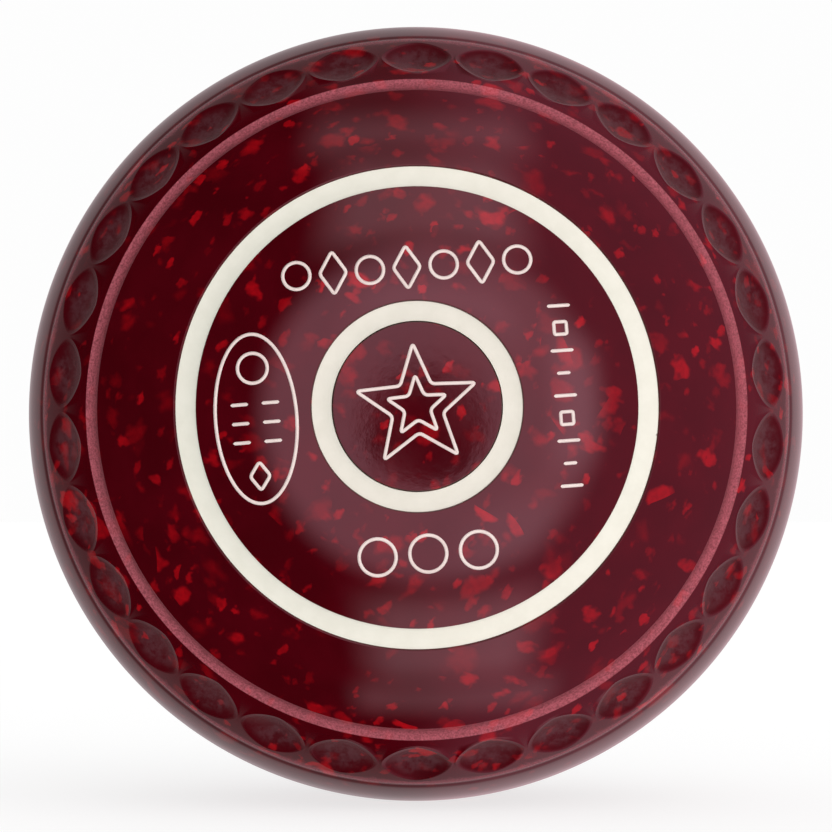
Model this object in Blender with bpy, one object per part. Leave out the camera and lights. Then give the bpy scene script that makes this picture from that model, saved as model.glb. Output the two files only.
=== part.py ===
"""A flat-green lawn bowl, 122 mm across: the moulded body, and the paint in its turned and engraved grooves.

Frame, in metres: the bowl's axis lies along Y through the origin, which is the middle of its width. The bias
side, with the smaller disc, faces -Y, and the plain side faces +Y. +Z is up, and the bowl stands on its sole.
"""

import math
from collections import namedtuple

import bmesh
import bpy
from mathutils import Matrix, Vector

MM = 0.001

# The outline of the body, from the crown of the running sole to the flat disc in the middle of each side.
BOWL_RADIUS = 61.0 * MM
HALF_WIDTH = 51.5 * MM
CROWN_OFFSET = 0.8 * MM  # the crown lies this far towards the plain side, which gives the bowl its bias
TRACK_HALF_WIDTH = 3.0 * MM  # the narrow band that the bowl runs on
SOLE_ARC_RADIUS = 75.0 * MM
SHOULDER_ARC_RADIUS = 38.0 * MM
SOLE_EDGE_ANGLE = math.radians(80.5)  # angles are between the outward normal and the bowl's axis
FACE_EDGE_ANGLE = math.radians(45.0)

# The grip: a ring of round hollows in each shoulder.
DIMPLE_COUNT = 30
DIMPLE_DIAMETER = 9.7 * MM
DIMPLE_DEPTH = 0.95 * MM
DIMPLE_ANGLE = math.radians(55.3)

# Turned grooves, as inner and outer radius.
GRIP_LINE = (48.05 * MM, 49.6 * MM)
OUTER_RING = (32.65 * MM, 35.6 * MM)
INNER_RING_WIDTH = 3.0 * MM
GRIP_LINE_DEPTH = 0.4 * MM
RING_GROOVE_DEPTH = 1.0 * MM
RING_TOP_DEPTH = 0.3 * MM
RING_HOLLOW = 0.15 * MM  # how far the paint's surface sinks in the middle of a ring
FIT_GAP = 0.25 * MM  # between an infill and its groove

# Engraved marks: lines of even width, filled with paint.
STROKE_WIDTH = 0.55 * MM
STROKE_TOP_DEPTH = 0.15 * MM
STROKE_BOTTOM_DEPTH = 0.5 * MM
CUTTER_CLEARANCE = 1.0 * MM  # how far a cutter stands out of the surface that it cuts
ROW_STEP = 5.4 * MM
ROW_LOZENGE = (4.0 * MM, 6.4 * MM)
ROW_RING = 4.0 * MM
PIP = 5.4 * MM
PIP_STEP = 7.4 * MM

FACETS = 60  # round the body
DIMPLE_FACETS = 12
SMALL_RING_FACETS = 12
OVAL_FACETS = 24

# A side's sign is its direction along Y. Its marks are turned anticlockwise by marks_turn, as one sees them.
Side = namedtuple("Side", "name sign disc_radius star_radius row_count row_up pips_up marks_turn is_stamped")
BIAS_SIDE = Side(
    name="bias",
    sign=-1,
    disc_radius=12.4 * MM,
    star_radius=9.2 * MM,
    row_count=7,
    row_up=20.4 * MM,
    pips_up=-21.5 * MM,
    marks_turn=math.radians(4.3),
    is_stamped=True,
)
PLAIN_SIDE = Side(
    name="plain",
    sign=1,
    disc_radius=18.5 * MM,
    star_radius=13.6 * MM,
    row_count=5,
    row_up=27.0 * MM,
    pips_up=-27.0 * MM,
    marks_turn=0.0,
    is_stamped=False,
)

# Looks: name, colour and roughness.
RESIN = ("resin", (0.09, 0.006, 0.012), 0.15)
RING_PAINT = ("ring_paint", (0.83, 0.80, 0.71), 0.45)
MARK_PAINT = ("mark_paint", (0.79, 0.62, 0.64), 0.45)


class Flank:
    """The outline of one side: sole arc, shoulder arc and face arc, each tangent to the last.

    A point on it is (radius from the axis, height along the axis from the crown's plane).
    """

    def __init__(self, side):
        self.side = side
        self.disc_height = HALF_WIDTH - side.sign * CROWN_OFFSET
        sole_centre = (BOWL_RADIUS - SOLE_ARC_RADIUS, TRACK_HALF_WIDTH)
        self.sole = (sole_centre, SOLE_ARC_RADIUS)
        sole_end = on_arc(self.sole, SOLE_EDGE_ANGLE)
        self.shoulder = arc_from(sole_end, SOLE_EDGE_ANGLE, SHOULDER_ARC_RADIUS)
        face_start = on_arc(self.shoulder, FACE_EDGE_ANGLE)
        self.face = arc_from(face_start, FACE_EDGE_ANGLE, self.face_radius(face_start))
        self.face_start_radius = face_start[0]

    def face_radius(self, start):
        """The radius of the arc that leaves start at the face's edge angle and ends at the disc's rim."""
        across = self.side.disc_radius - start[0]
        along = self.disc_height - start[1]
        slant = across * math.sin(FACE_EDGE_ANGLE) + along * math.cos(FACE_EDGE_ANGLE)
        return -(across**2 + along**2) / (2 * slant)

    def height(self, radius):
        """The height of the surface at a radius on the shoulder, the face or the disc."""
        if radius <= self.side.disc_radius:
            return self.disc_height
        arc = self.face if radius <= self.face_start_radius else self.shoulder
        (centre_radius, centre_height), arc_radius = arc
        return centre_height + math.sqrt(arc_radius**2 - (radius - centre_radius) ** 2)

    def point(self, across, up, depth):
        """The place of a mark's point, at a depth under the surface. Across is to the viewer's right."""
        height = self.height(math.hypot(across, up)) - depth
        turn = Matrix.Rotation(self.side.sign * self.side.marks_turn, 3, "Y")
        return turn @ Vector((-self.side.sign * across, self.world_y(height), up))

    def world_y(self, height):
        return CROWN_OFFSET + self.side.sign * height


def arc_from(start, angle, radius):
    """The arc of this radius that passes through start, where its normal stands at angle to the axis."""
    return (start[0] - radius * math.sin(angle), start[1] - radius * math.cos(angle)), radius


def on_arc(arc, angle):
    (centre_radius, centre_height), radius = arc
    return centre_radius + radius * math.sin(angle), centre_height + radius * math.cos(angle)


def between(start, end, steps):
    """Values from start up to, and not including, end."""
    return [start + (end - start) * i / steps for i in range(steps)]


def groove(flank, inner, outer, depth):
    """A turned groove's four corners, from its outer rim to its inner rim."""
    rims = [(outer, flank.height(outer)), (inner, flank.height(inner))]
    floor = [(radius, height - depth) for radius, height in rims]
    return [rims[0], *floor, rims[1]]


def inner_ring(side):
    """The inner ring's groove, as inner and outer radius: it starts at the disc's rim."""
    return side.disc_radius, side.disc_radius + INNER_RING_WIDTH


def outline(flank):
    """The points of one side's outline, from the edge of the track to the middle of the disc."""
    sole = [on_arc(flank.sole, angle) for angle in between(math.pi / 2, SOLE_EDGE_ANGLE, 2)]
    shoulder_angles = between(SOLE_EDGE_ANGLE, FACE_EDGE_ANGLE + math.radians(6), 5)
    shoulder = [on_arc(flank.shoulder, angle) for angle in shoulder_angles]
    inner = inner_ring(flank.side)
    face_radii = between(GRIP_LINE[0], OUTER_RING[1], 3)[1:]
    middle_radii = between(OUTER_RING[0], inner[1], 3)[1:]
    return [
        *sole,
        *shoulder,
        *groove(flank, *GRIP_LINE, GRIP_LINE_DEPTH),
        *[(radius, flank.height(radius)) for radius in face_radii],
        *groove(flank, *OUTER_RING, RING_GROOVE_DEPTH),
        *[(radius, flank.height(radius)) for radius in middle_radii],
        *groove(flank, *inner, RING_GROOVE_DEPTH),
        (0.0, flank.disc_height),
    ]


def spin(mesh, line, closed, axis, steps):
    """Turns a line of vertices once round an axis through the origin."""
    pairs = zip(line, line[1:] + line[:1] if closed else line[1:])
    edges = [mesh.edges.new(pair) for pair in pairs]
    bmesh.ops.spin(mesh, geom=line + edges, axis=axis, angle=2 * math.pi, steps=steps, use_merge=True)
    bmesh.ops.remove_doubles(mesh, verts=mesh.verts, dist=1e-7)


def turned_object(name, points, closed):
    """Turns (radius, y) points about Y. The facets' middles lie at the stated radius, one of them lowest."""
    mesh = bmesh.new()
    to_flats = 1 / math.cos(math.pi / FACETS)
    half_facet = Matrix.Rotation(math.pi / FACETS, 3, "Y")
    line = [mesh.verts.new(half_facet @ Vector((radius * to_flats, y, 0))) for radius, y in points]
    spin(mesh, line, closed, (0, 1, 0), FACETS)
    return mesh_object(name, mesh)


def mesh_object(name, mesh, parent=None):
    """A linked object made from a bmesh, its faces pointing out."""
    bmesh.ops.recalc_face_normals(mesh, faces=mesh.faces)
    data = bpy.data.meshes.new(name)
    mesh.to_mesh(data)
    mesh.free()
    made = bpy.data.objects.new(name, data)
    made.parent = parent
    bpy.context.scene.collection.objects.link(made)
    return made


def set_material(made, look):
    """Gives an object its own material."""
    name, colour, roughness = look
    material = bpy.data.materials.new(f"{name}_{made.name}")
    material.use_nodes = True
    shader = material.node_tree.nodes["Principled BSDF"]
    shader.inputs["Base Color"].default_value = (*colour, 1)
    shader.inputs["Roughness"].default_value = roughness
    shader.inputs["Metallic"].default_value = 0
    made.data.materials.append(material)
    made.data.set_sharp_from_angle(angle=math.radians(30))


def cut(body, cutter):
    """Cuts a closed mesh out of the body and hides it."""
    cutter.hide_render = True
    cutter.display_type = "WIRE"
    modifier = body.modifiers.new(cutter.name, "BOOLEAN")
    modifier.operation = "DIFFERENCE"
    modifier.solver = "EXACT"
    modifier.object = cutter


def dimple_cutter(flank, body):
    """All of a side's dimples as one cutter: round caps, each with a cone above it. One is at the top."""
    rim_radius = DIMPLE_DIAMETER / 2
    ball_radius = (rim_radius**2 + DIMPLE_DEPTH**2) / (2 * DIMPLE_DEPTH)
    cap_angle = math.asin(rim_radius / ball_radius)
    middle_radius = ball_radius * math.sin(cap_angle / 2)
    middle_depth = DIMPLE_DEPTH - ball_radius * (1 - math.cos(cap_angle / 2))
    top_radius = rim_radius + CUTTER_CLEARANCE * math.tan(cap_angle)
    cap = [(0, -DIMPLE_DEPTH), (middle_radius, -middle_depth)]
    cone_end = [(top_radius, CUTTER_CLEARANCE), (0, CUTTER_CLEARANCE)]
    mesh = bmesh.new()
    half_facet = Matrix.Rotation(math.pi / DIMPLE_FACETS, 3, "Z")
    line = [mesh.verts.new(half_facet @ Vector((radius, 0, out))) for radius, out in cap + cone_end]
    spin(mesh, line, False, (0, 0, 1), DIMPLE_FACETS)
    radius, height = on_arc(flank.shoulder, DIMPLE_ANGLE)
    lean = Matrix.Rotation(-flank.side.sign * (math.pi / 2 - DIMPLE_ANGLE), 4, "X")
    place = Matrix.Translation((0, flank.world_y(height), radius)) @ lean
    bmesh.ops.transform(mesh, matrix=place, verts=mesh.verts)
    copies = DIMPLE_COUNT - 1
    geometry = [*mesh.verts, *mesh.edges, *mesh.faces]
    angle = copies * 2 * math.pi / DIMPLE_COUNT
    bmesh.ops.spin(mesh, geom=geometry, axis=(0, 1, 0), angle=angle, steps=copies, use_duplicate=True)
    return mesh_object(f"{flank.side.name}_dimple_cutter", mesh, body)


def is_closed(path):
    """A path of two points is open, and any other runs back to its first point."""
    return len(path) > 2


def add_stroke(mesh, flank, path, half_width, top_depth, bottom_depth):
    """Adds one engraved line as a closed solid: an even band along the path, which follows the surface."""
    count = len(path)
    closed = is_closed(path)
    corners = []
    for i, (across, up) in enumerate(path):
        before = path[i - 1] if closed or i else None
        after = path[(i + 1) % count] if closed or i < count - 1 else None
        normals = [left_of(a, b) for a, b in ((before, path[i]), (path[i], after)) if a and b]
        side_way = sum(normals, Vector((0, 0)))
        side_way *= half_width / side_way.dot(normals[0])
        spots = [(across + way * side_way.x, up + way * side_way.y) for way in (-1, 1)]
        tops = [flank.point(*spot, top_depth) for spot in spots]
        bottoms = [flank.point(*spot, bottom_depth) for spot in reversed(spots)]
        corners.append([mesh.verts.new(corner) for corner in tops + bottoms])
    for i in range(count if closed else count - 1):
        here, there = corners[i], corners[(i + 1) % count]
        for j in range(4):
            after = (j + 1) % 4
            mesh.faces.new((here[j], here[after], there[after], there[j]))
    if not closed:
        mesh.faces.new(corners[0])
        mesh.faces.new(corners[-1])


def left_of(start, end):
    """The unit vector to the left of the way from start to end."""
    way = Vector((end[0] - start[0], end[1] - start[1])).normalized()
    return Vector((-way.y, way.x))


def longer(path, by):
    """An open path with its ends drawn out."""
    first, second = Vector(path[0]), Vector(path[-1])
    way = (second - first).normalized() * by
    return [tuple(first - way), *path[1:-1], tuple(second + way)]


def polygon(across, up, half_width, half_height, corners, first_turn=0.0):
    """A closed path round a centre, its first corner straight above the centre before it is turned."""
    turns = [first_turn + 2 * math.pi * i / corners for i in range(corners)]
    return [(across + half_width * math.sin(turn), up + half_height * math.cos(turn)) for turn in turns]


def star(tip_radius):
    """A five-pointed star's outline round the middle of the side."""
    notch_radius = 0.42 * tip_radius
    path = []
    for i in range(10):
        radius = notch_radius if i % 2 else tip_radius
        path.append((radius * math.sin(math.pi * i / 5), radius * math.cos(math.pi * i / 5)))
    return path


def bar(across, up, length):
    return [(across - length / 2, up), (across + length / 2, up)]


def small_ring(across, up, diameter):
    return polygon(across, up, diameter / 2, diameter / 2, SMALL_RING_FACETS)


def lozenge(across, up, width, height):
    return polygon(across, up, width / 2, height / 2, 4)


def centred(count, step):
    """Places at an even step, centred on 0."""
    return [(i - (count - 1) / 2) * step for i in range(count)]


def marks(side):
    """The engraved lines of a side, as name to path."""
    found = {
        "emblem_outer_star": star(side.star_radius),
        "emblem_inner_star": star(0.5 * side.star_radius),
    }
    for i, across in enumerate(centred(side.row_count, ROW_STEP)):
        if i % 2:
            found[f"top_row_lozenge_{i + 1}"] = lozenge(across, side.row_up, *ROW_LOZENGE)
        else:
            found[f"top_row_ring_{i + 1}"] = small_ring(across, side.row_up, ROW_RING)
    for i, across in enumerate(centred(3, PIP_STEP)):
        found[f"size_pip_{i + 1}"] = small_ring(across, side.pips_up, PIP)
    if side.is_stamped:
        found.update(oval_stamp())
        found.update(index_column())
    return found


def oval_stamp():
    """The oval on the left: its border, a ring and a lozenge at its ends, and two columns of bars."""
    middle = -23.6 * MM
    found = {
        "stamp_border": polygon(middle, 0, 6.0 * MM, 12.4 * MM, OVAL_FACETS),
        "stamp_ring": small_ring(middle, 7.4 * MM, 4.4 * MM),
        "stamp_lozenge": lozenge(middle, -8.4 * MM, 3.0 * MM, 4.2 * MM),
    }
    spots = [(middle + way * 2.3 * MM, up) for way in (-1, 1) for up in centred(3, 2.8 * MM)]
    for i, (across, up) in enumerate(spots):
        found[f"stamp_bar_{i + 1}"] = bar(across, up - 0.6 * MM, 2.6 * MM)
    return found


def index_column():
    """The column of nine marks on the right: long bars, squares and short bars."""
    middle = 21.7 * MM
    lengths = [3.4 * MM, None, 3.4 * MM, 2.0 * MM]
    found = {}
    for i, up in enumerate(centred(9, -3.3 * MM)):
        length = lengths[i % 4]
        square = polygon(middle, up, 1.3 * MM, 1.3 * MM, 4, math.pi / 4)
        found[f"index_mark_{i + 1}"] = bar(middle, up, length) if length else square
    return found


def make_ring(body, flank, name, inner, outer):
    """A painted ring: it lies in its groove with a gap all round, and its top is slightly hollow."""
    inner, outer = inner + FIT_GAP, outer - FIT_GAP
    middle = (inner + outer) / 2
    bottom = RING_GROOVE_DEPTH - FIT_GAP
    section = [
        (outer, flank.height(outer) - bottom),
        (outer, flank.height(outer) - RING_TOP_DEPTH),
        (middle, flank.height(middle) - RING_TOP_DEPTH - RING_HOLLOW),
        (inner, flank.height(inner) - RING_TOP_DEPTH),
        (inner, flank.height(inner) - bottom),
    ]
    points = [(radius, flank.world_y(height)) for radius, height in section]
    made = turned_object(name, points, closed=True)
    made.parent = body
    set_material(made, RING_PAINT)


def make_side(body, flank):
    """The rings and the engraved marks of one side, and the hollows that the body has for them."""
    side = flank.side
    make_ring(body, flank, f"{side.name}_outer_ring", *OUTER_RING)
    make_ring(body, flank, f"{side.name}_inner_ring", *inner_ring(side))
    grooves = bmesh.new()
    for name, path in marks(side).items():
        infill = bmesh.new()
        half_width = STROKE_WIDTH / 2
        add_stroke(infill, flank, path, half_width, STROKE_TOP_DEPTH, STROKE_BOTTOM_DEPTH)
        set_material(mesh_object(f"{side.name}_{name}", infill, body), MARK_PAINT)
        room = path if is_closed(path) else longer(path, FIT_GAP)
        groove_depth = STROKE_BOTTOM_DEPTH + FIT_GAP
        add_stroke(grooves, flank, room, half_width + FIT_GAP, -CUTTER_CLEARANCE, groove_depth)
    cut(body, mesh_object(f"{side.name}_engraving_cutter", grooves, body))
    cut(body, dimple_cutter(flank, body))


def clear_scene():
    for existing in list(bpy.data.objects):
        bpy.data.objects.remove(existing)


def main():
    clear_scene()
    flanks = [Flank(BIAS_SIDE), Flank(PLAIN_SIDE)]
    lines = [[(radius, flank.world_y(height)) for radius, height in outline(flank)] for flank in flanks]
    body = turned_object("bowl_body", lines[0][::-1] + lines[1], closed=False)
    set_material(body, RESIN)
    for flank in flanks:
        make_side(body, flank)


main()
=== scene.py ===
"""The looks of a lawn bowl: its polished, flaked resin, its painted rings and marks, and a pale studio.

The bowl's axis lies along Y. Its bias side faces -Y, towards the camera, and it stands on its sole. The
outline of a side is given as radius from the axis and height along it, from the plane of the sole's crown.
"""

import math
from functools import partial

import bpy
import numpy as np
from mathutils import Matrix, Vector


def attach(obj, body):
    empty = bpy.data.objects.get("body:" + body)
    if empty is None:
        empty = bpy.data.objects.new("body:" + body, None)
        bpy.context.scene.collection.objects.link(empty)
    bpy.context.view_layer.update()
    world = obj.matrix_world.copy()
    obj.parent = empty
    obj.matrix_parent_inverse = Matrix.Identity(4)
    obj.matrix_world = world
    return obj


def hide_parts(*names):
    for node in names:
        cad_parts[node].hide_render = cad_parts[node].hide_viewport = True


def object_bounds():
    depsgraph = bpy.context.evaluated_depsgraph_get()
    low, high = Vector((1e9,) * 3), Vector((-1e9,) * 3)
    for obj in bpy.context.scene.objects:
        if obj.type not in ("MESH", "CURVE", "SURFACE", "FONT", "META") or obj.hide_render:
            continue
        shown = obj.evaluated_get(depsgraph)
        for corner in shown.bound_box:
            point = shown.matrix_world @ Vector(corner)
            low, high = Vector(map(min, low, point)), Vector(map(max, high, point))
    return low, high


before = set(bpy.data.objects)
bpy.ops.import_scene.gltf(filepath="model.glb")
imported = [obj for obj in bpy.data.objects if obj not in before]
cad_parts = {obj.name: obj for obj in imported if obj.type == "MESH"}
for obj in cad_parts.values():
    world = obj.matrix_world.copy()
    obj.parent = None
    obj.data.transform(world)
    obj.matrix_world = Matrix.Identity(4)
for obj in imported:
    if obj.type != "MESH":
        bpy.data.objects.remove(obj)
cad_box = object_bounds()

MM = 0.001
DEGREE = math.pi / 180

# The outline: the CAD's arcs, a hair inside its box.
BOWL_RADIUS = 60.98 * MM
HALF_WIDTH = 51.48 * MM
CROWN_OFFSET = 0.8 * MM
TRACK_HALF_WIDTH = 3.0 * MM
SOLE_ARC_RADIUS = 75.0 * MM
SHOULDER_ARC_RADIUS = 38.0 * MM
SOLE_EDGE_ANGLE = 80.5 * DEGREE
FACE_EDGE_ANGLE = 45.0 * DEGREE
OUTER_RING = (32.65 * MM, 35.7 * MM)  # 0.1 mm wider outwards than the CAD's
INNER_RING_WIDTH = 3.0 * MM
GRIP_LINE = (47.8 * MM, 49.6 * MM)  # 0.25 mm wider inwards than the CAD's
GRIP_DEPTH = 0.36 * MM

# A fine turned line outside the dimples, too shallow for the CAD.
TURNED_LINE_RADIUS = 57.2 * MM
TURNED_LINE_WIDTH = 0.55 * MM
TURNED_LINE_DEPTH = 0.14 * MM
TURNED_LINE_HEIGHT = 24.6 * MM  # from the middle of the track
LINE_FROST_AND_HIGHLIGHT = 0.42  # how frosted the strip just inside it is, and the share of its pale tint, a painted highlight

DIMPLE_COUNT = 30
DIMPLE_RADIUS = 4.75 * MM
DIMPLE_DEPTH = 0.95 * MM
DIMPLE_ANGLE = 55.3 * DEGREE
DIMPLE_RIM = 0.2 * MM  # half the width of the rounded rim
DIMPLE_BURR = 0.05 * MM  # the height of the fine burr along the inner half of a dimple
DIMPLE_STRETCH = 1.085  # how much longer a dimple is round the axis than across the band
DIMPLE_POINT = 1.65  # the exponent of its outline: 2 would make an ellipse, and less makes the ends pointed
CELL_HALF_ANGLE = 8.4 * DEGREE  # of the band that holds the dimples, along the outline
CELL_STEPS = 12  # along each edge of a dimple's cell
TURN_STEPS = DIMPLE_COUNT * CELL_STEPS

RING_WALL = 0.38 * MM  # the width of a ring groove's rounded wall
RING_GROOVE_DEPTH = 0.8 * MM
RING_EDGE_DEPTH = 0.3 * MM
RING_MIDDLE_DEPTH = 0.5 * MM
STROKE_WIDTH = 0.5 * MM
STROKE_CROWN = 0.018 * MM  # how far the paint of a mark stands proud in its middle
STROKE_ROOT = 0.2 * MM  # how far it reaches into the resin


class Flank:
    """The outline of one side. sign is the side's direction along Y."""

    def __init__(self, name, sign, disc_radius, marks_turn):
        self.name = name
        self.sign = sign
        self.disc_radius = disc_radius
        self.marks_turn = marks_turn
        self.disc_height = HALF_WIDTH - sign * CROWN_OFFSET
        self.sole = (BOWL_RADIUS - SOLE_ARC_RADIUS, TRACK_HALF_WIDTH, SOLE_ARC_RADIUS)
        sole_end = on_arc(self.sole, SOLE_EDGE_ANGLE)
        self.shoulder = arc_from(sole_end, SOLE_EDGE_ANGLE, SHOULDER_ARC_RADIUS)
        start = on_arc(self.shoulder, FACE_EDGE_ANGLE)
        across, along = disc_radius - start[0], self.disc_height - start[1]
        slant = across * math.sin(FACE_EDGE_ANGLE) + along * math.cos(FACE_EDGE_ANGLE)
        self.face = arc_from(start, FACE_EDGE_ANGLE, -(across**2 + along**2) / (2 * slant))
        self.face_start_radius = start[0]

    def at_radius(self, radius):
        """Height and normal angle of the surface at radii on the shoulder, the face or the disc."""
        radius = np.asarray(radius, float)
        on_face = radius <= self.face_start_radius
        centre = np.where(on_face, self.face[0], self.shoulder[0])
        base = np.where(on_face, self.face[1], self.shoulder[1])
        arc_radius = np.where(on_face, self.face[2], self.shoulder[2])
        sine = np.clip((radius - centre) / arc_radius, -1, 1)
        on_disc = radius <= self.disc_radius
        angle = np.where(on_disc, 0.0, np.arcsin(sine))
        return np.where(on_disc, self.disc_height, base + arc_radius * np.cos(angle)), angle

    def world(self, radius, height, turn):
        """World positions. turn is the angle about the axis from straight up, towards +X."""
        return stacked(radius * np.sin(turn), CROWN_OFFSET + self.sign * height, radius * np.cos(turn))

    def world_normal(self, angle, turn):
        outward = np.sin(angle)
        return stacked(outward * np.sin(turn), self.sign * np.cos(angle), outward * np.cos(turn))

    def mark_point(self, across, up, lift):
        """Where a mark's point lies, lifted above the surface, with across to the viewer's right."""
        radius = np.hypot(across, up)
        height, angle = self.at_radius(radius)
        turn = np.arctan2(-self.sign * across, up) + self.sign * self.marks_turn
        return self.world(radius + lift * np.sin(angle), height + lift * np.cos(angle), turn)


def stacked(x, y, z):
    """Coordinates as one array of points."""
    return np.stack(np.broadcast_arrays(x, y, z), -1)


def arc_from(start, angle, radius):
    """The arc (centre's radius and height, radius) through start, where its normal stands at angle."""
    return start[0] - radius * math.sin(angle), start[1] - radius * math.cos(angle), radius


def on_arc(arc, angle):
    return arc[0] + arc[2] * np.sin(angle), arc[1] + arc[2] * np.cos(angle)


# ---------------------------------------------------------------- meshes


class Shell:
    """The vertices of one piece with their normals, and its faces, gathered part by part."""

    def __init__(self):
        self.points = []
        self.normals = []
        self.satin = []
        self.frost = []
        self.faces = []

    def add(self, points, normals, satin=0.0, frost=0.0):
        """Adds vertices and returns their indices."""
        count = len(points)
        first = len(self.points)
        self.points.extend(points)
        self.normals.extend(normals)
        self.satin.extend(np.broadcast_to(satin, count))
        self.frost.extend(np.broadcast_to(frost, count))
        return np.arange(first, first + count)

    def join(self, a, b, closed=True):
        """Quads between two rows of as many vertices."""
        steps = len(a) if closed else len(a) - 1
        for i in range(steps):
            j = (i + 1) % len(a)
            self.faces.append((a[i], a[j], b[j], b[i]))

    def fan(self, row, tip):
        for i in range(len(row)):
            self.faces.append((row[i], row[(i + 1) % len(row)], tip))

    def build(self, name):
        """The finished object, its faces pointing along their vertices' normals."""
        points, normals = np.array(self.points), np.array(self.normals)
        faces = []
        for face in self.faces:
            a, b, c = points[face[0]], points[face[1]], points[face[-2]]
            last = points[face[-1]]
            facing = np.cross(c - a, last - b) if len(face) == 4 else np.cross(b - a, last - a)
            outward = normals[list(face)].sum(0)
            faces.append([int(i) for i in (face if facing @ outward > 0 else face[::-1])])
        mesh = bpy.data.meshes.new(name)
        mesh.from_pydata(points.tolist(), [], faces)
        mesh.shade_smooth()
        for key, values in (("satin", self.satin), ("frost", self.frost)):
            attribute = mesh.attributes.new(key, "FLOAT", "POINT")
            attribute.data.foreach_set("value", np.array(values, np.float32))
        mesh.normals_split_custom_set_from_vertices(normals.tolist())
        return link(bpy.data.objects.new(name, mesh))


def link(made):
    bpy.context.scene.collection.objects.link(made)
    return made


def line_normals(line, places, step):
    """Unit normals of a curve of (radius, height) points, whose radius grows with the place on it."""
    way = line(places + step) - line(places - step)
    way /= np.linalg.norm(way, axis=1)[:, None]
    return np.stack([-way[:, 1], way[:, 0]], -1)


TURNS = (np.arange(TURN_STEPS) - CELL_STEPS / 2) * 2 * math.pi / TURN_STEPS


def add_row(shell, flank, point, normal, frost=0.0):
    """A row of vertices all the way round the axis, from a (radius, height) point and normal."""
    points = flank.world(np.full(TURN_STEPS, point[0]), point[1], TURNS)
    return shell.add(points, flank.world_normal(math.atan2(*normal), TURNS), frost=frost)


def add_rows(shell, flank, line, places, frost=0.0):
    """Turns a curve of (radius, height) points into rows of vertices, and joins them. Returns the rows."""
    shares = np.broadcast_to(frost, len(places))
    found = zip(line(places), line_normals(line, places, 1e-7), shares)
    rows = [add_row(shell, flank, *found_row) for found_row in found]
    for a, b in zip(rows, rows[1:]):
        shell.join(a, b)
    return rows


def soft_step(values):
    """Rises smoothly from 0 to 1 as values do."""
    values = np.clip(values, 0, 1)
    return values * values * (3 - 2 * values)


def sunk(flank, radii, depth):
    """Points of the outline at these radii, sunk to a depth along the normal."""
    radii = np.array(radii)
    height, angle = flank.at_radius(radii)
    return np.stack([radii - depth * np.sin(angle), height - depth * np.cos(angle)], -1)


def groove_radii(inner, outer, wall):
    """Radii across a groove, from outside inwards, close together on its walls."""
    outer_wall = outer + wall * np.linspace(0.5, -0.5, 8)
    inner_wall = inner + wall * np.linspace(0.5, -0.5, 8)
    middle = np.linspace(outer_wall[-1], inner_wall[0], 6)[1:-1]
    return np.concatenate([outer_wall, middle, inner_wall])


def groove_depth(radii, inner, outer, wall, depth):
    """A flat-bottomed groove's depth, with rounded walls."""
    rise = soft_step((radii - inner) / wall + 0.5) * soft_step((outer - radii) / wall + 0.5)
    return depth * rise


def dimple_depth(distance):
    """How deep a dimple is at a distance from its middle: a shallow bowl with a rounded rim."""
    ball = (DIMPLE_RADIUS**2 + DIMPLE_DEPTH**2) / (2 * DIMPLE_DEPTH)
    slope = DIMPLE_RADIUS / math.sqrt(ball**2 - DIMPLE_RADIUS**2)
    inside = DIMPLE_DEPTH - ball + np.sqrt(ball**2 - np.minimum(distance, DIMPLE_RADIUS) ** 2)
    depth = inside - slope * np.maximum(distance - DIMPLE_RADIUS, 0)
    reach = slope * DIMPLE_RIM
    blend = np.clip((depth + reach) / (2 * reach), 0, 1)
    return np.where(depth > reach, depth, reach * blend**2)


def dimple_burr(distance, angle):
    """The height of the burr, which stands along the half of a dimple's rim that is nearer the axis."""
    nearer = soft_step((DIMPLE_ANGLE - angle) / (5 * DEGREE) + 0.5)
    off = (distance - DIMPLE_RADIUS - DIMPLE_RIM) / (0.7 * DIMPLE_RIM)
    return DIMPLE_BURR * nearer * np.exp(-(off**2))


def pointed_distance(across, along):
    """The distance from a dimple's middle, measured so that equal distances make a pointed oval."""
    across = np.abs(across / DIMPLE_STRETCH) ** DIMPLE_POINT
    return (across + np.abs(along) ** DIMPLE_POINT) ** (1 / DIMPLE_POINT)


def dimple_distance(flank, angle, turn):
    """The distance from the middle of the nearest dimple, along the surface."""
    pitch = 2 * math.pi / DIMPLE_COUNT
    off = (turn + pitch / 2) % pitch - pitch / 2
    radius = on_arc(flank.shoulder, angle)[0]
    return pointed_distance(off * radius, (angle - DIMPLE_ANGLE) * flank.shoulder[2])


def band_point(flank, angle, turn):
    distance = dimple_distance(flank, angle, turn)
    depth = dimple_depth(distance) - dimple_burr(distance, angle)
    radius, height = on_arc(flank.shoulder, angle)
    return flank.world(radius - depth * np.sin(angle), height - depth * np.cos(angle), turn)


def add_band_points(shell, flank, angle, turn):
    """Adds vertices of the dimpled band, with the band's true normals."""
    angle, turn = np.broadcast_arrays(np.asarray(angle, float), np.asarray(turn, float))
    step = 1e-5
    along = band_point(flank, angle + step, turn) - band_point(flank, angle - step, turn)
    round_way = band_point(flank, angle, turn + step) - band_point(flank, angle, turn - step)
    normals = np.cross(along, round_way)
    normals /= np.linalg.norm(normals, axis=1)[:, None]
    normals *= np.sign((normals * flank.world_normal(angle, turn)).sum(1))[:, None]
    inside = 1 - dimple_distance(flank, angle, turn) / DIMPLE_RADIUS
    return shell.add(band_point(flank, angle, turn), normals, satin=np.maximum(inside, 0))


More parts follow.
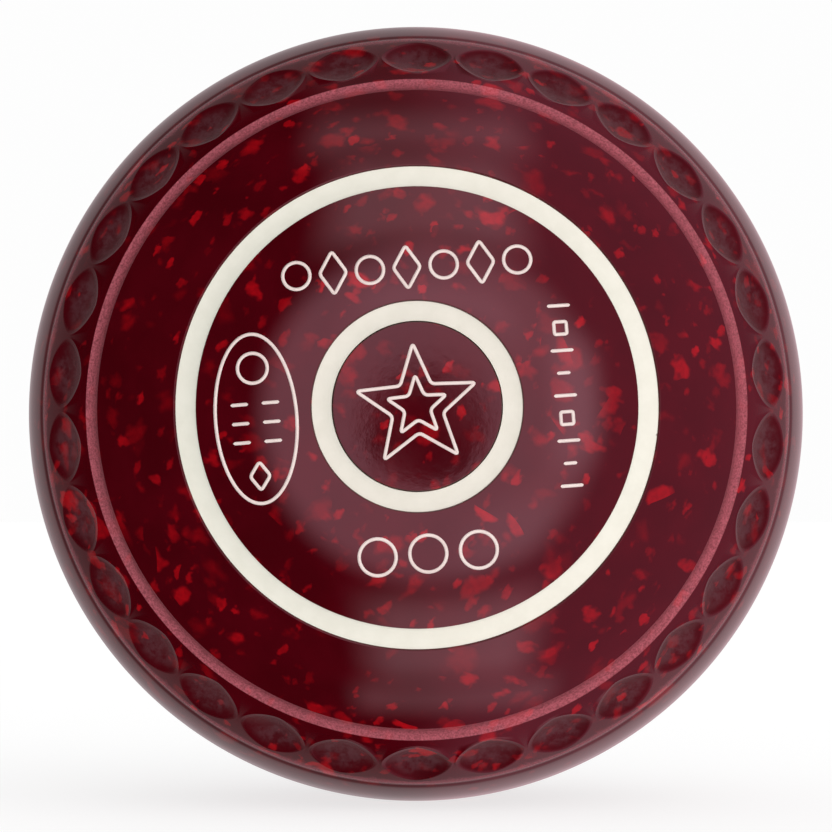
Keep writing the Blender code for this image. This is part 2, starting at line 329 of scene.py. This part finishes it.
def add_dimpled_band(shell, flank, inner_row, outer_row):
    """The band between two rows: for each dimple a square cell, whose rings go from round to square."""
    low, high = DIMPLE_ANGLE - CELL_HALF_ANGLE, DIMPLE_ANGLE + CELL_HALF_ANGLE
    pitch = 2 * math.pi / DIMPLE_COUNT
    between_rows = np.linspace(low, high, CELL_STEPS + 1)[1:-1]
    sides = [add_band_points(shell, flank, between_rows, (j - 0.5) * pitch) for j in range(DIMPLE_COUNT)]
    floor = DIMPLE_RADIUS * np.array([0.16, 0.32, 0.48, 0.64, 0.78])
    rim = DIMPLE_RADIUS + DIMPLE_RIM * np.array([-2.5, -1.1, -0.7, -0.35, 0, 0.3, 0.6, 0.85, 1.1, 1.4, 1.75])
    distances = np.concatenate([floor, rim])
    edge = np.linspace(-1, 1, CELL_STEPS + 1)[:-1]
    one = np.ones(CELL_STEPS)
    across = np.concatenate([edge, one, -edge, -one])
    along = np.concatenate([-one, edge, one, -edge])
    bearings = np.arctan2(across, along)
    oval = pointed_distance(np.sin(bearings), np.cos(bearings))
    for j in range(DIMPLE_COUNT):
        middle = j * pitch
        steps = (j * CELL_STEPS + np.arange(CELL_STEPS + 1)) % TURN_STEPS
        right, left = sides[(j + 1) % DIMPLE_COUNT], sides[j]
        bottom, top = inner_row[steps[:-1]], outer_row[steps[1:]][::-1]
        corners = inner_row[steps[-1:]], outer_row[steps[:1]]
        edge_row = np.concatenate([bottom, corners[0], right, top, corners[1], left[::-1]])
        edge_angle = DIMPLE_ANGLE + along * CELL_HALF_ANGLE
        edge_turn = middle + across * pitch / 2
        rings = []
        for radius in distances[:, None] / oval:
            angle = DIMPLE_ANGLE + radius * np.cos(bearings) / flank.shoulder[2]
            turn = middle + radius * np.sin(bearings) / on_arc(flank.shoulder, angle)[0]
            rings.append(add_band_points(shell, flank, angle, turn))
        rings.append(add_band_points(shell, flank, (angle + edge_angle) / 2, (turn + edge_turn) / 2))
        rings.append(edge_row)
        for a, b in zip(rings, rings[1:]):
            shell.join(a, b)
        shell.fan(rings[0], add_band_points(shell, flank, [DIMPLE_ANGLE], [middle])[0])


def ring_radii(flank):
    """The inner and outer radius of the two ring grooves."""
    return OUTER_RING, (flank.disc_radius, flank.disc_radius + INNER_RING_WIDTH)


def face_line(flank, radii):
    """The outline between the band of dimples and the disc's middle, with its grooves."""
    place = np.clip((radii - GRIP_LINE[0]) / (GRIP_LINE[1] - GRIP_LINE[0]), 0, 1)
    depth = GRIP_DEPTH * (1 - np.abs(2 * place - 1) ** 3)
    for inner, outer in ring_radii(flank):
        depth = depth + groove_depth(radii, inner, outer, RING_WALL, RING_GROOVE_DEPTH)
    return sunk(flank, radii, depth)


def face_places(flank):
    """The radii of the face's rows, from outside inwards."""
    grip = np.linspace(GRIP_LINE[1] + 0.05 * MM, GRIP_LINE[0] - 0.05 * MM, 24)
    grooves = [groove_radii(*radii, RING_WALL) for radii in ring_radii(flank)]
    dome = np.linspace(grip[-1], grooves[0][0], 14)[1:-1]
    middle = np.linspace(grooves[0][-1], grooves[1][0], 16)[1:-1]
    disc = np.linspace(grooves[1][-1], 0.6 * MM, 6)[1:]
    return np.concatenate([grip, dome, grooves[0], middle, grooves[1], disc])


def shoulder_line(flank, angles):
    """The outline between the track and the band of dimples, with its fine turned line."""
    arcs = np.where(angles[:, None] > SOLE_EDGE_ANGLE, flank.sole, flank.shoulder)
    line_angle = math.asin((TURNED_LINE_RADIUS - flank.shoulder[0]) / flank.shoulder[2])
    off = (angles - line_angle) * flank.shoulder[2] / TURNED_LINE_WIDTH
    reach = arcs[:, 2] - TURNED_LINE_DEPTH * np.exp(-(off**2))
    return np.stack([arcs[:, 0] + reach * np.sin(angles), arcs[:, 1] + reach * np.cos(angles)], -1)


def line_frost_and_highlight(flank, angles):
    """How frosted the surface is just inside the fine turned line, and how much pale tint is painted there
    as a highlight.
    """
    inside = TURNED_LINE_RADIUS - on_arc(flank.shoulder, angles)[0]
    return LINE_FROST_AND_HIGHLIGHT * soft_step(inside / (0.3 * MM)) * (angles < SOLE_EDGE_ANGLE)


def shoulder_places(flank):
    """The angles of the shoulder's rows, from the track inwards."""
    line_angle = math.asin((TURNED_LINE_RADIUS - flank.shoulder[0]) / flank.shoulder[2])
    fine = line_angle + TURNED_LINE_WIDTH * np.linspace(2.4, -2.4, 13) / flank.shoulder[2]
    sole = np.linspace(90 * DEGREE, SOLE_EDGE_ANGLE, 9)[:-1]
    upper = np.linspace(SOLE_EDGE_ANGLE, fine[0], 9)[:-1]
    return np.concatenate([sole, upper, fine, [DIMPLE_ANGLE + CELL_HALF_ANGLE]])


def make_body(flanks):
    """The resin body as one closed mesh."""
    shell = Shell()
    tracks = []
    for flank in flanks:
        places = shoulder_places(flank)
        # The strip inside the turned line is frosted and carries a pale tint as a painted highlight; the
        # grip line below is frosted.
        frost = line_frost_and_highlight(flank, places)
        outer_rows = add_rows(shell, flank, partial(shoulder_line, flank), places, frost)
        tracks.append(outer_rows[0])
        band_end = on_arc(flank.shoulder, DIMPLE_ANGLE - CELL_HALF_ANGLE)[0]
        places = np.concatenate([[band_end], face_places(flank)])
        frost = (places > GRIP_LINE[0]) & (places < GRIP_LINE[1])
        inner_rows = add_rows(shell, flank, partial(face_line, flank), places, frost)
        add_dimpled_band(shell, flank, inner_rows[0], outer_rows[-1])
        centre = flank.world(np.zeros(1), flank.disc_height, np.zeros(1))
        shell.fan(inner_rows[-1], shell.add(centre, [(0, flank.sign, 0)])[0])
    shell.join(tracks[0], tracks[1])
    return shell.build("resin_body")


def paint_line(flank, inner, outer, radii):
    """The top of a ring's paint: hollow in its middle, and lower than the resin beside it."""
    place = (radii - inner) / (outer - inner)
    hollow = (RING_MIDDLE_DEPTH - RING_EDGE_DEPTH) * 4 * place * (1 - place)
    return sunk(flank, radii, RING_EDGE_DEPTH + hollow)


def make_ring(flank, name, inner, outer):
    """The paint in a ring groove."""
    shell = Shell()
    rows = add_rows(shell, flank, partial(paint_line, flank, inner, outer), np.linspace(outer, inner, 17))
    under = sunk(flank, np.array([inner, outer]), RING_GROOVE_DEPTH + 0.1 * MM)
    rows.append(add_row(shell, flank, under[0], (-1, 0)))
    rows.append(add_row(shell, flank, under[1], (1, 0)))
    for a, b in zip(rows[-3:], rows[-2:] + rows[:1]):
        shell.join(a, b)
    return shell.build(name)


# ---------------------------------------------------------------- engraved marks


def polygon(across, up, half_width, half_height, corners, first_turn=0.0):
    """A closed path round a centre, its first corner straight above the centre before it is turned."""
    turns = first_turn + 2 * math.pi * np.arange(corners) / corners
    return np.stack([across + half_width * np.sin(turns), up + half_height * np.cos(turns)], -1)


def rounded(path, radius, steps=5):
    """A closed path with its corners rounded off."""
    made = []
    for before, corner, after in zip(np.roll(path, 1, 0), path, np.roll(path, -1, 0)):
        into, out = before - corner, after - corner
        reach = min(radius, np.linalg.norm(into) / 2.1, np.linalg.norm(out) / 2.1)
        start = corner + into / np.linalg.norm(into) * reach
        end = corner + out / np.linalg.norm(out) * reach
        for t in np.linspace(0, 1, steps):
            made.append((1 - t) ** 2 * start + 2 * t * (1 - t) * corner + t**2 * end)
    return np.array(made)


def star(tip_radius):
    turns = math.pi * np.arange(10) / 5
    radii = np.where(np.arange(10) % 2, 0.42 * tip_radius, tip_radius)
    return rounded(np.stack([radii * np.sin(turns), radii * np.cos(turns)], -1), 0.6 * MM)


def small_ring(across, up, diameter):
    return polygon(across, up, diameter / 2, diameter / 2, 40)


def lozenge(across, up, width, height):
    return rounded(polygon(across, up, width / 2, height / 2, 4), 0.5 * MM)


def bar(across, up, length):
    return np.array([(across - length / 2, up), (across + length / 2, up)])


def centred(count, step):
    return (np.arange(count) - (count - 1) / 2) * step


def marks(star_radius, row_count, row_up, pips_up):
    """The marks that both sides have, as name to path, as in the CAD."""
    found = {"emblem_outer_star": star(star_radius), "emblem_inner_star": star(0.5 * star_radius)}
    for i, across in enumerate(centred(row_count, 5.4 * MM)):
        if i % 2:
            found[f"top_row_lozenge_{i + 1}"] = lozenge(across, row_up, 4.0 * MM, 6.4 * MM)
        else:
            found[f"top_row_ring_{i + 1}"] = small_ring(across, row_up, 4.0 * MM)
    for i, across in enumerate(centred(3, 7.4 * MM)):
        found[f"size_pip_{i + 1}"] = small_ring(across, pips_up, 5.4 * MM)
    return found


def stamps():
    """The oval stamp on the left and the column of nine marks on the right, which only the bias side has."""
    middle = -23.6 * MM
    found = {
        "stamp_border": polygon(middle, 0, 6.0 * MM, 12.4 * MM, 120),
        "stamp_ring": small_ring(middle, 7.4 * MM, 4.4 * MM),
        "stamp_lozenge": lozenge(middle, -8.4 * MM, 3.0 * MM, 4.2 * MM),
    }
    spots = [(middle + way * 2.3 * MM, up) for way in (-1, 1) for up in centred(3, 2.8 * MM)]
    for i, (across, up) in enumerate(spots):
        found[f"stamp_bar_{i + 1}"] = bar(across, up - 0.6 * MM, 2.6 * MM)
    lengths = [3.4 * MM, None, 3.4 * MM, 2.0 * MM]
    for i, up in enumerate(centred(9, -3.3 * MM)):
        length = lengths[i % 4]
        square = rounded(polygon(21.7 * MM, up, 1.3 * MM, 1.3 * MM, 4, math.pi / 4), 0.3 * MM)
        found[f"index_mark_{i + 1}"] = bar(21.7 * MM, up, length) if length else square
    return found


def spaced(path, closed, step):
    """The same path with points at most a step apart."""
    ends = np.roll(path, -1, 0) if closed else path[1:]
    made = []
    for start, end in zip(path, ends):
        pieces = max(1, math.ceil(np.linalg.norm(end - start) / step))
        made.extend(start + (end - start) * i / pieces for i in range(pieces))
    return np.array(made if closed else made + [path[-1]])


def make_stroke(flank, name, path):
    """One engraved line's paint: an even band along the path, with a slightly crowned top."""
    closed = len(path) > 2
    path = spaced(path, closed, 0.4 * MM if closed else 0.2 * MM)
    if closed:
        way = np.roll(path, -1, 0) - np.roll(path, 1, 0)
        widths = np.full(len(path), STROKE_WIDTH / 2)
    else:
        way = np.gradient(path, axis=0)
        from_end = np.minimum(*(np.linalg.norm(path - end, axis=1) for end in (path[0], path[-1])))
        cap = np.clip(from_end / (STROKE_WIDTH / 2), 0, 1)
        widths = STROKE_WIDTH / 2 * np.sqrt(np.maximum(1 - (1 - cap) ** 2, 0.04))
    way /= np.linalg.norm(way, axis=1)[:, None]
    left = np.stack([-way[:, 1], way[:, 0]], -1) * widths[:, None]
    top = [(-1, 0.0), (-0.6, STROKE_CROWN), (0.6, STROKE_CROWN), (1, 0.0)]
    section = [(-1, -STROKE_ROOT), *top, (1, -STROKE_ROOT)]
    rows = []
    shell = Shell()
    for side, lift in section:
        spots = path + left * side
        points = flank.mark_point(spots[:, 0], spots[:, 1], lift)
        middle = flank.mark_point(path[:, 0], path[:, 1], -0.15 * MM)
        normals = points - middle
        normals /= np.linalg.norm(normals, axis=1)[:, None]
        rows.append(shell.add(points, normals))
    for a, b in zip(rows, rows[1:] + rows[:1]):
        shell.join(a, b, closed)
    if not closed:
        for i in (0, -1):
            shell.faces.append(tuple(row[i] for row in rows[:3]) + (rows[3][i],))
            shell.faces.append((rows[3][i], rows[4][i], rows[5][i], rows[0][i]))
    return shell.build(name)


# ---------------------------------------------------------------- node trees


class Graph:
    """Short calls for building a shader's node tree."""

    def __init__(self, tree):
        self.tree = tree

    def node(self, kind, inputs=(), **settings):
        made = self.tree.nodes.new("ShaderNode" + kind)
        for key, value in settings.items():
            setattr(made, key, value)
        for key, value in dict(inputs).items():
            self.put(made.inputs[key], value)
        return made

    def put(self, socket, value):
        if isinstance(value, bpy.types.NodeSocket):
            self.tree.links.new(value, socket)
        else:
            socket.default_value = value

    def math(self, operation, *values, clamp=False):
        return self.node("Math", enumerate(values), operation=operation, use_clamp=clamp).outputs[0]

    def vector(self, operation, *values):
        made = self.node("VectorMath", enumerate(values), operation=operation)
        return made.outputs["Value" if operation in ("LENGTH", "DOT_PRODUCT") else "Vector"]

    def smooth(self, value, start, end, low=0.0, high=1.0):
        """low where value is at start, high where it is at end, and smooth between."""
        inputs = {"Value": value, "From Min": start, "From Max": end, "To Min": low, "To Max": high}
        return self.node("MapRange", inputs, interpolation_type="SMOOTHSTEP").outputs["Result"]

    def mix(self, share, a, b, blend="MIX"):
        made = self.node("Mix", data_type="RGBA", blend_type=blend)
        for index, value in ((0, share), (6, a), (7, b)):
            self.put(made.inputs[index], value)
        return made.outputs[2]

    def noise(self, place, scale, detail=2.0, roughness=0.5):
        inputs = {"Vector": place, "Scale": scale, "Detail": detail, "Roughness": roughness}
        return self.node("TexNoise", inputs)


def colour(red, green, blue):
    return red, green, blue, 1.0


def new_material(name):
    material = bpy.data.materials.new(name)
    material.use_nodes = True
    graph = Graph(material.node_tree)
    return material, graph, material.node_tree.nodes["Principled BSDF"]


BASE = colour(0.054, 0.0007, 0.0032)
CLOUDY_BASE = colour(0.071, 0.0010, 0.0042)
DEEP_FLAKE = colour(0.135, 0.0012, 0.0040)
BRIGHT_FLAKE = colour(0.39, 0.0030, 0.0070)
# A greyish mauve painted into the dimples in streaks: a painted sheen, standing in for their blurred
# reflection.
PAINTED_SHEEN_TINT = colour(0.14, 0.067, 0.08)
# The pale tint of the frosted grip line, also painted as a highlight on the strip inside the turned line.
FROST_AND_HIGHLIGHT_TINT = colour(0.70, 0.150, 0.200)
SPECK = colour(0.25, 0.20, 0.18)
RING_PALE = colour(0.885, 0.868, 0.76)
RING_DARK = colour(0.84, 0.825, 0.715)
# Painted shade: the ring paint is multiplied by this colour near the axis, which darkens the inner ring.
RING_AXIS_SHADE = colour(0.92, 0.91, 0.91)
MARK_PALE = colour(0.92, 0.79, 0.74)
MARK_DARK = colour(0.85, 0.70, 0.66)

# The flakes, as layers of one size each: the cell that holds a flake, the share of cells that do, the least
# and greatest radius in cells, how much longer than wide a flake is, and how the layer is turned and moved.
FLAKE_LAYERS = [
    (2.6 * MM, 0.80, (0.14, 0.31), 1.4, (0.4, 0.5, 0.2), (0.031, 0.017, 0.023)),
    (3.9 * MM, 0.80, (0.14, 0.32), 1.5, (0.2, 2.0, 0.5), (0.011, 0.037, 0.041)),
    (5.5 * MM, 0.80, (0.14, 0.32), 1.4, (0.5, 1.2, 0.1), (0.053, 0.029, 0.013)),
    (8.0 * MM, 0.42, (0.14, 0.28), 1.3, (0.1, 2.7, 0.4), (0.047, 0.043, 0.059)),
]


def flake_layer(graph, place, size, share, radii, stretch, turn, offset):
    """One size of flake: its cover from 0 to 1, and how near the surface each flake lies, from 0 to 1."""
    mapping = {"Vector": place, "Location": offset, "Rotation": turn, "Scale": (1.0, 1.0, stretch)}
    moved = graph.node("Mapping", mapping, vector_type="TEXTURE").outputs["Vector"]
    warp = graph.noise(moved, 1.5 / size, 2.0, 0.6).outputs["Color"]
    warp = graph.vector("SUBTRACT", warp, (0.5, 0.5, 0.5))
    warp = graph.vector("MULTIPLY", warp, (0.85 * size,) * 3)
    inputs = {"Vector": graph.vector("ADD", moved, warp), "Scale": 1 / size}
    cells = graph.node("TexVoronoi", inputs)
    chance = graph.node("SeparateColor", {"Color": cells.outputs["Color"]})
    crowd = graph.noise(moved, 1 / (20 * MM), 1.0).outputs["Fac"]
    limit = graph.math("MULTIPLY", graph.smooth(crowd, 0.38, 0.62, 0.55, 1.4), share)
    chosen = graph.math("LESS_THAN", chance.outputs["Red"], limit)
    radius = graph.smooth(chance.outputs["Green"], 0.0, 1.0, *radii)
    nearest = graph.smooth(chance.outputs["Green"], 0.0, 1.0, 0.5, 1.0)
    near = graph.math("MULTIPLY", chance.outputs["Blue"], nearest)
    blur = graph.smooth(near, 0.0, 0.9, 0.17, 0.1)
    edge = graph.math("DIVIDE", graph.math("SUBTRACT", radius, cells.outputs["Distance"]), blur)
    cover = graph.math("MULTIPLY", graph.smooth(edge, -0.6, 1.0), chosen)
    return cover, near


def resin_colour(graph, place):
    """The maroon resin and its red flakes, faded on the shoulder past the turned line as a painted
    reflection veil.
    """
    cloud = graph.noise(place, 1 / (9 * MM), 3.0).outputs["Fac"]
    found = graph.mix(graph.smooth(cloud, 0.3, 0.75), BASE, CLOUDY_BASE)
    ripple = graph.smooth(graph.noise(place, 1 / (0.9 * MM), 2.0).outputs["Fac"], 0.3, 0.7, 0.72, 1.0)
    height = graph.node("SeparateXYZ", {"Vector": place}).outputs["Y"]
    height = graph.math("ABSOLUTE", graph.math("SUBTRACT", height, CROWN_OFFSET))
    # Painted reflection: on the shoulder between the turned line and the track the flakes are faded, least
    # near the track, standing in for the reflections that veil them there.
    beyond = graph.smooth(height, TURNED_LINE_HEIGHT + 0.3 * MM, TURNED_LINE_HEIGHT - 0.3 * MM)
    painted_veil = graph.math("MULTIPLY", graph.smooth(height, 8 * MM, 15 * MM, 0.0, 0.65), beyond)
    ripple = graph.math("MULTIPLY", ripple, graph.math("SUBTRACT", 1.0, painted_veil))
    for layer in FLAKE_LAYERS:
        cover, near = flake_layer(graph, place, *layer)
        shade = graph.mix(graph.math("POWER", near, 1.5), DEEP_FLAKE, BRIGHT_FLAKE)
        found = graph.mix(graph.math("MULTIPLY", cover, ripple), found, shade)
    return found


def resin_material():
    """Polished resin. The dimples are satin with a painted sheen, the grip line is frosted with painted
    shading, and the strip inside the turned line has a painted highlight.
    """
    material, graph, shader = new_material("flaked_resin")
    place = graph.node("TexCoord").outputs["Object"]
    frost = graph.node("Attribute", attribute_name="frost").outputs["Fac"]
    satin = graph.node("Attribute", attribute_name="satin").outputs["Fac"]
    resin = resin_colour(graph, place)
    fibres = graph.vector("MULTIPLY", place, (1.0, 0.35, 1.0))
    streak = graph.noise(fibres, 1 / (1.6 * MM), 5.0, 0.7).outputs["Fac"]
    # Painted sheen: the dimples' colour is streaked towards a greyish mauve, standing in for the blurred
    # reflection in them.
    sheen_share = graph.smooth(satin, 0.05, 0.5)
    sheen_share = graph.math("MULTIPLY", sheen_share, graph.smooth(streak, 0.36, 0.64, 0.04, 0.3))
    resin = graph.mix(sheen_share, resin, PAINTED_SHEEN_TINT)
    radius = graph.vector("LENGTH", graph.vector("MULTIPLY", place, (1.0, 0.0, 1.0)))
    # Painted shade and light: the pale tint grows paler outwards across the grip line, standing in for the
    # shading of its hollow, and stays at its palest further out, where it is a painted highlight on the
    # strip inside the turned line.
    outward = graph.smooth(radius, GRIP_LINE[0], GRIP_LINE[0] + 1.1 * MM, 0.2, 0.41)
    pale_mottle = graph.noise(place, 1 / (0.32 * MM), 3.0, 0.75).outputs["Fac"]
    pale_share = graph.math("MULTIPLY", outward, graph.smooth(pale_mottle, 0.32, 0.68, 0.45, 1.5))
    graph.put(shader.inputs["Base Color"], graph.mix(frost, resin, graph.mix(pale_share, resin, FROST_AND_HIGHLIGHT_TINT)))
    worn = graph.smooth(graph.noise(place, 1 / (14 * MM), 4.0).outputs["Fac"], 0.3, 0.7, 0.03, 0.055)
    ground = graph.smooth(satin, 0.0, 0.06)
    dull = graph.math("MAXIMUM", worn, graph.math("MULTIPLY", ground, 0.2))
    graph.put(shader.inputs["Roughness"], graph.math("MAXIMUM", dull, graph.math("MULTIPLY", frost, 0.6)))
    graph.put(shader.inputs["Specular IOR Level"], graph.smooth(satin, 0.0, 0.12, 0.5, 0.09))
    tooled = graph.math("ADD", graph.math("MULTIPLY", ground, 0.9), 0.08)
    wave = graph.math("MULTIPLY", graph.noise(place, 1 / (1.4 * MM), 4.0, 0.6).outputs["Fac"], tooled)
    bump = graph.node("Bump", {"Height": wave, "Strength": 0.5, "Distance": 0.06 * MM})
    graph.put(shader.inputs["Normal"], bump.outputs["Normal"])
    return material


def paint_material(name, pale, dark, axis_shade):
    """Cured paint, slightly mottled and grained, with a few dark specks. Near the axis it is multiplied by
    the last colour given, as painted shade.
    """
    material, graph, shader = new_material(name)
    place = graph.node("TexCoord").outputs["Object"]
    mottle = graph.noise(place, 1 / (3 * MM), 4.0, 0.6).outputs["Fac"]
    radius = graph.vector("LENGTH", graph.vector("MULTIPLY", place, (1.0, 0.0, 1.0)))
    mixed = graph.mix(graph.smooth(mottle, 0.3, 0.7), dark, pale)
    # Painted shade: the paint is darker towards the axis.
    mixed = graph.mix(graph.smooth(radius, 30 * MM, 18 * MM), mixed, axis_shade, "MULTIPLY")
    cells = graph.node("TexVoronoi", {"Vector": place, "Scale": 1 / (3.2 * MM)})
    chance = graph.node("SeparateColor", {"Color": cells.outputs["Color"]}).outputs["Red"]
    spot = graph.smooth(cells.outputs["Distance"], 0.06, 0.035)
    spot = graph.math("MULTIPLY", spot, graph.math("LESS_THAN", chance, 0.06))
    graph.put(shader.inputs["Base Color"], graph.mix(spot, mixed, SPECK))
    shader.inputs["Roughness"].default_value = 0.5
    grain = graph.noise(place, 1 / (0.35 * MM), 3.0, 0.7).outputs["Fac"]
    bump = graph.node("Bump", {"Height": grain, "Strength": 0.25, "Distance": 0.02 * MM})
    graph.put(shader.inputs["Normal"], bump.outputs["Normal"])
    return material


# ---------------------------------------------------------------- studio


FRONT_TINT = colour(2.05, 1.03, 1.27)
SIDE_TINT = colour(3.3, 1.0, 1.45)
BAR_TINT = colour(1.75, 1.0, 1.15)
REAR_TINT = colour(1.2, 1.0, 1.04)
LENS = (0.41, 1.1)  # where the camera's own dark reflection is, in degrees across and up from the front


class Sky:
    """The light that the resin mirrors, by direction. u and v are degrees from the front, across and up."""

    def __init__(self, graph, way):
        self.graph = graph
        x, y, z = graph.node("SeparateXYZ", {"Vector": way}).outputs
        self.from_front = graph.math("DEGREES", graph.math("ARCCOSINE", graph.math("MULTIPLY", y, -1.0)))
        flat = graph.vector("MULTIPLY", way, (1.0, 0.0, 1.0))
        aside = graph.math("MAXIMUM", graph.vector("LENGTH", flat), 1e-4)
        spread = graph.math("DIVIDE", self.from_front, aside)
        self.u = graph.math("MULTIPLY", x, spread)
        self.v = graph.math("MULTIPLY", z, spread)
        self.light = colour(0.0, 0.0, 0.0)

    def add(self, strength, tint):
        made = self.graph.mix(1.0, tint, strength, "MULTIPLY")
        self.light = self.graph.mix(1.0, self.light, made, "ADD")

    def panel(self, strength, tint, centre, half, edge):
        """A rectangle with soft edges, its centre, its half size and its edges' width in degrees."""
        parts = []
        for value, middle, reach in ((self.u, centre[0], half[0]), (self.v, centre[1], half[1])):
            off = self.graph.math("ABSOLUTE", self.graph.math("SUBTRACT", value, middle))
            parts.append(self.graph.smooth(off, reach + edge / 2, reach - edge / 2))
        shape = self.graph.math("MULTIPLY", *parts)
        self.add(self.graph.math("MULTIPLY", shape, strength), tint)

    def distance(self, centre):
        """Degrees from a direction near the front."""
        off = [self.graph.math("SUBTRACT", *pair) for pair in ((self.u, centre[0]), (self.v, centre[1]))]
        squares = [self.graph.math("MULTIPLY", value, value) for value in off]
        return self.graph.math("SQRT", self.graph.math("ADD", *squares))


def mirrored_sky(graph, way):
    """A big panel in front, strips above and below it, a dim right-hand side and a pale rear."""
    sky = Sky(graph, way)
    front = graph.smooth(sky.distance((4.5, -1.0)), 39.0, 27.0)
    sky.add(front, FRONT_TINT)
    sky.panel(0.4, FRONT_TINT, (4.0, 16.0), (12.0, 5.0), 12.0)
    sky.panel(0.55, FRONT_TINT, (31.0, 3.0), (7.0, 12.0), 12.0)
    sky.panel(0.3, FRONT_TINT, (18.0, -22.0), (9.0, 8.0), 12.0)
    beside = graph.math("MULTIPLY", graph.smooth(sky.u, -8.0, 25.0), graph.math("SUBTRACT", 1.0, front))
    beside = graph.math("MULTIPLY", beside, graph.smooth(sky.from_front, 90.0, 140.0, 0.23, 0.04))
    sky.add(beside, SIDE_TINT)
    sky.panel(0.97, BAR_TINT, (2.0, 48.0), (21.0, 14.0), 16.0)
    sky.panel(0.65, BAR_TINT, (1.0, 73.0), (28.0, 7.0), 16.0)
    sky.panel(0.13, BAR_TINT, (1.0, 92.0), (30.0, 11.0), 14.0)
    sky.panel(1.0, BAR_TINT, (9.0, -54.0), (20.0, 14.0), 16.0)
    sky.panel(0.62, BAR_TINT, (11.0, -76.0), (27.0, 5.0), 12.0)
    rear = graph.smooth(sky.from_front, 98.0, 121.0, 0.0, 0.24)
    rear = graph.math("ADD", rear, graph.smooth(sky.from_front, 128.0, 146.0, 0.0, 0.16))
    lean = graph.vector("DOT_PRODUCT", way, (0.32, 0.0, -0.1))
    sky.add(graph.math("MULTIPLY", rear, graph.math("ADD", lean, 1.02)), REAR_TINT)
    lens = graph.smooth(sky.distance(LENS), 0.86, 1.04)
    return graph.mix(1.0, sky.light, lens, "MULTIPLY")


def soft_dome(graph, way):
    """The light that falls on the bowl: most of it from the front and the right, some from behind."""
    lamp = Vector((0.44, -0.88, 0.15)).normalized()
    ahead = graph.math("MAXIMUM", graph.vector("DOT_PRODUCT", way, tuple(lamp)), 0.0)
    behind = graph.math("MAXIMUM", graph.vector("DOT_PRODUCT", way, (0.0, 1.0, 0.0)), 0.0)
    above = graph.math("MAXIMUM", graph.vector("DOT_PRODUCT", way, (0.0, 0.0, 1.0)), 0.0)
    light = graph.math("ADD", graph.math("MULTIPLY", graph.math("POWER", ahead, 3.0), 1.84), 0.18)
    behind = graph.math("MULTIPLY", behind, behind)
    light = graph.math("ADD", light, graph.math("MULTIPLY", behind, 0.85))
    return graph.math("ADD", light, graph.math("MULTIPLY", above, 0.34))


def studio_world():
    """A pale studio. The resin mirrors soft panels, and the camera sees plain white behind the bowl."""
    world = bpy.data.worlds.new("studio")
    bpy.context.scene.world = world
    world.use_nodes = True
    graph = Graph(world.node_tree)
    way = graph.node("TexCoord").outputs["Generated"]
    rays = graph.node("LightPath")
    light = graph.mix(rays.outputs["Is Glossy Ray"], soft_dome(graph, way), mirrored_sky(graph, way))
    shown = graph.mix(rays.outputs["Is Camera Ray"], light, colour(0.985, 0.985, 0.985))
    graph.put(world.node_tree.nodes["Background"].inputs["Color"], shown)


def make_floor():
    """A pale floor, which shows the bowl's soft shadow."""
    half = 8.0
    mesh = bpy.data.meshes.new("floor")
    level = cad_box[0].z
    corners = [(-half, -half, level), (half, -half, level), (half, half, level), (-half, half, level)]
    mesh.from_pydata(corners, [], [(0, 1, 2, 3)])
    floor = link(bpy.data.objects.new("floor", mesh))
    material, _, shader = new_material("floor_pale")
    shader.inputs["Base Color"].default_value = colour(0.36, 0.36, 0.36)
    shader.inputs["Roughness"].default_value = 1.0
    shader.inputs["Specular IOR Level"].default_value = 0.0
    shader.inputs["Emission Color"].default_value = colour(1.0, 1.0, 1.0)
    shader.inputs["Emission Strength"].default_value = 0.745
    mesh.materials.append(material)
    floor.visible_glossy = False


def make_camera():
    """The photograph's angle: almost level with the bowl's axis, a little below it and to its left."""
    data = bpy.data.cameras.new("camera")
    data.lens = 163.1
    data.sensor_width = 36.0
    data.clip_start = 0.05
    data.clip_end = 50.0
    camera = link(bpy.data.objects.new("camera", data))
    azimuth, elevation, distance = -0.25 * DEGREE, -1.3 * DEGREE, 0.6
    level = math.cos(elevation)
    away = Vector((math.sin(azimuth) * level, -math.cos(azimuth) * level, math.sin(elevation)))
    aim = Vector((0.04 * MM, 0.0, -0.24 * MM))
    camera.location = aim + away * distance
    camera.rotation_euler = (-away).to_track_quat("-Z", "Y").to_euler()
    bpy.context.scene.camera = camera


def dress(piece, node, material):
    """Puts a piece in the frame: it stands for a CAD node and wears a material."""
    piece.data.materials.append(material)
    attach(piece, "root")
    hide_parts(node)


def main():
    bias = Flank("bias", sign=-1, disc_radius=12.4 * MM, marks_turn=4.3 * DEGREE)
    plain = Flank("plain", sign=1, disc_radius=18.5 * MM, marks_turn=0.0)
    bias_marks = marks(star_radius=9.2 * MM, row_count=7, row_up=20.4 * MM, pips_up=-21.5 * MM)
    bias_marks.update(stamps())
    plain_marks = marks(star_radius=13.6 * MM, row_count=5, row_up=27.0 * MM, pips_up=-27.0 * MM)
    ring_paint = paint_material("ring_paint_cream", RING_PALE, RING_DARK, RING_AXIS_SHADE)
    mark_paint = paint_material("mark_paint_pale", MARK_PALE, MARK_DARK, colour(1.0, 1.0, 1.0))
    dress(make_body([bias, plain]), "bowl_body", resin_material())
    for flank, found in ((bias, bias_marks), (plain, plain_marks)):
        for ring, radii in zip(("outer_ring", "inner_ring"), ring_radii(flank)):
            node = f"{flank.name}_{ring}"
            dress(make_ring(flank, node + "_paint", *radii), node, ring_paint)
        for mark, path in found.items():
            node = f"{flank.name}_{mark}"
            dress(make_stroke(flank, node + "_paint", path), node, mark_paint)
    make_floor()
    studio_world()
    make_camera()
    bpy.context.scene.view_settings.view_transform = "Standard"


main()
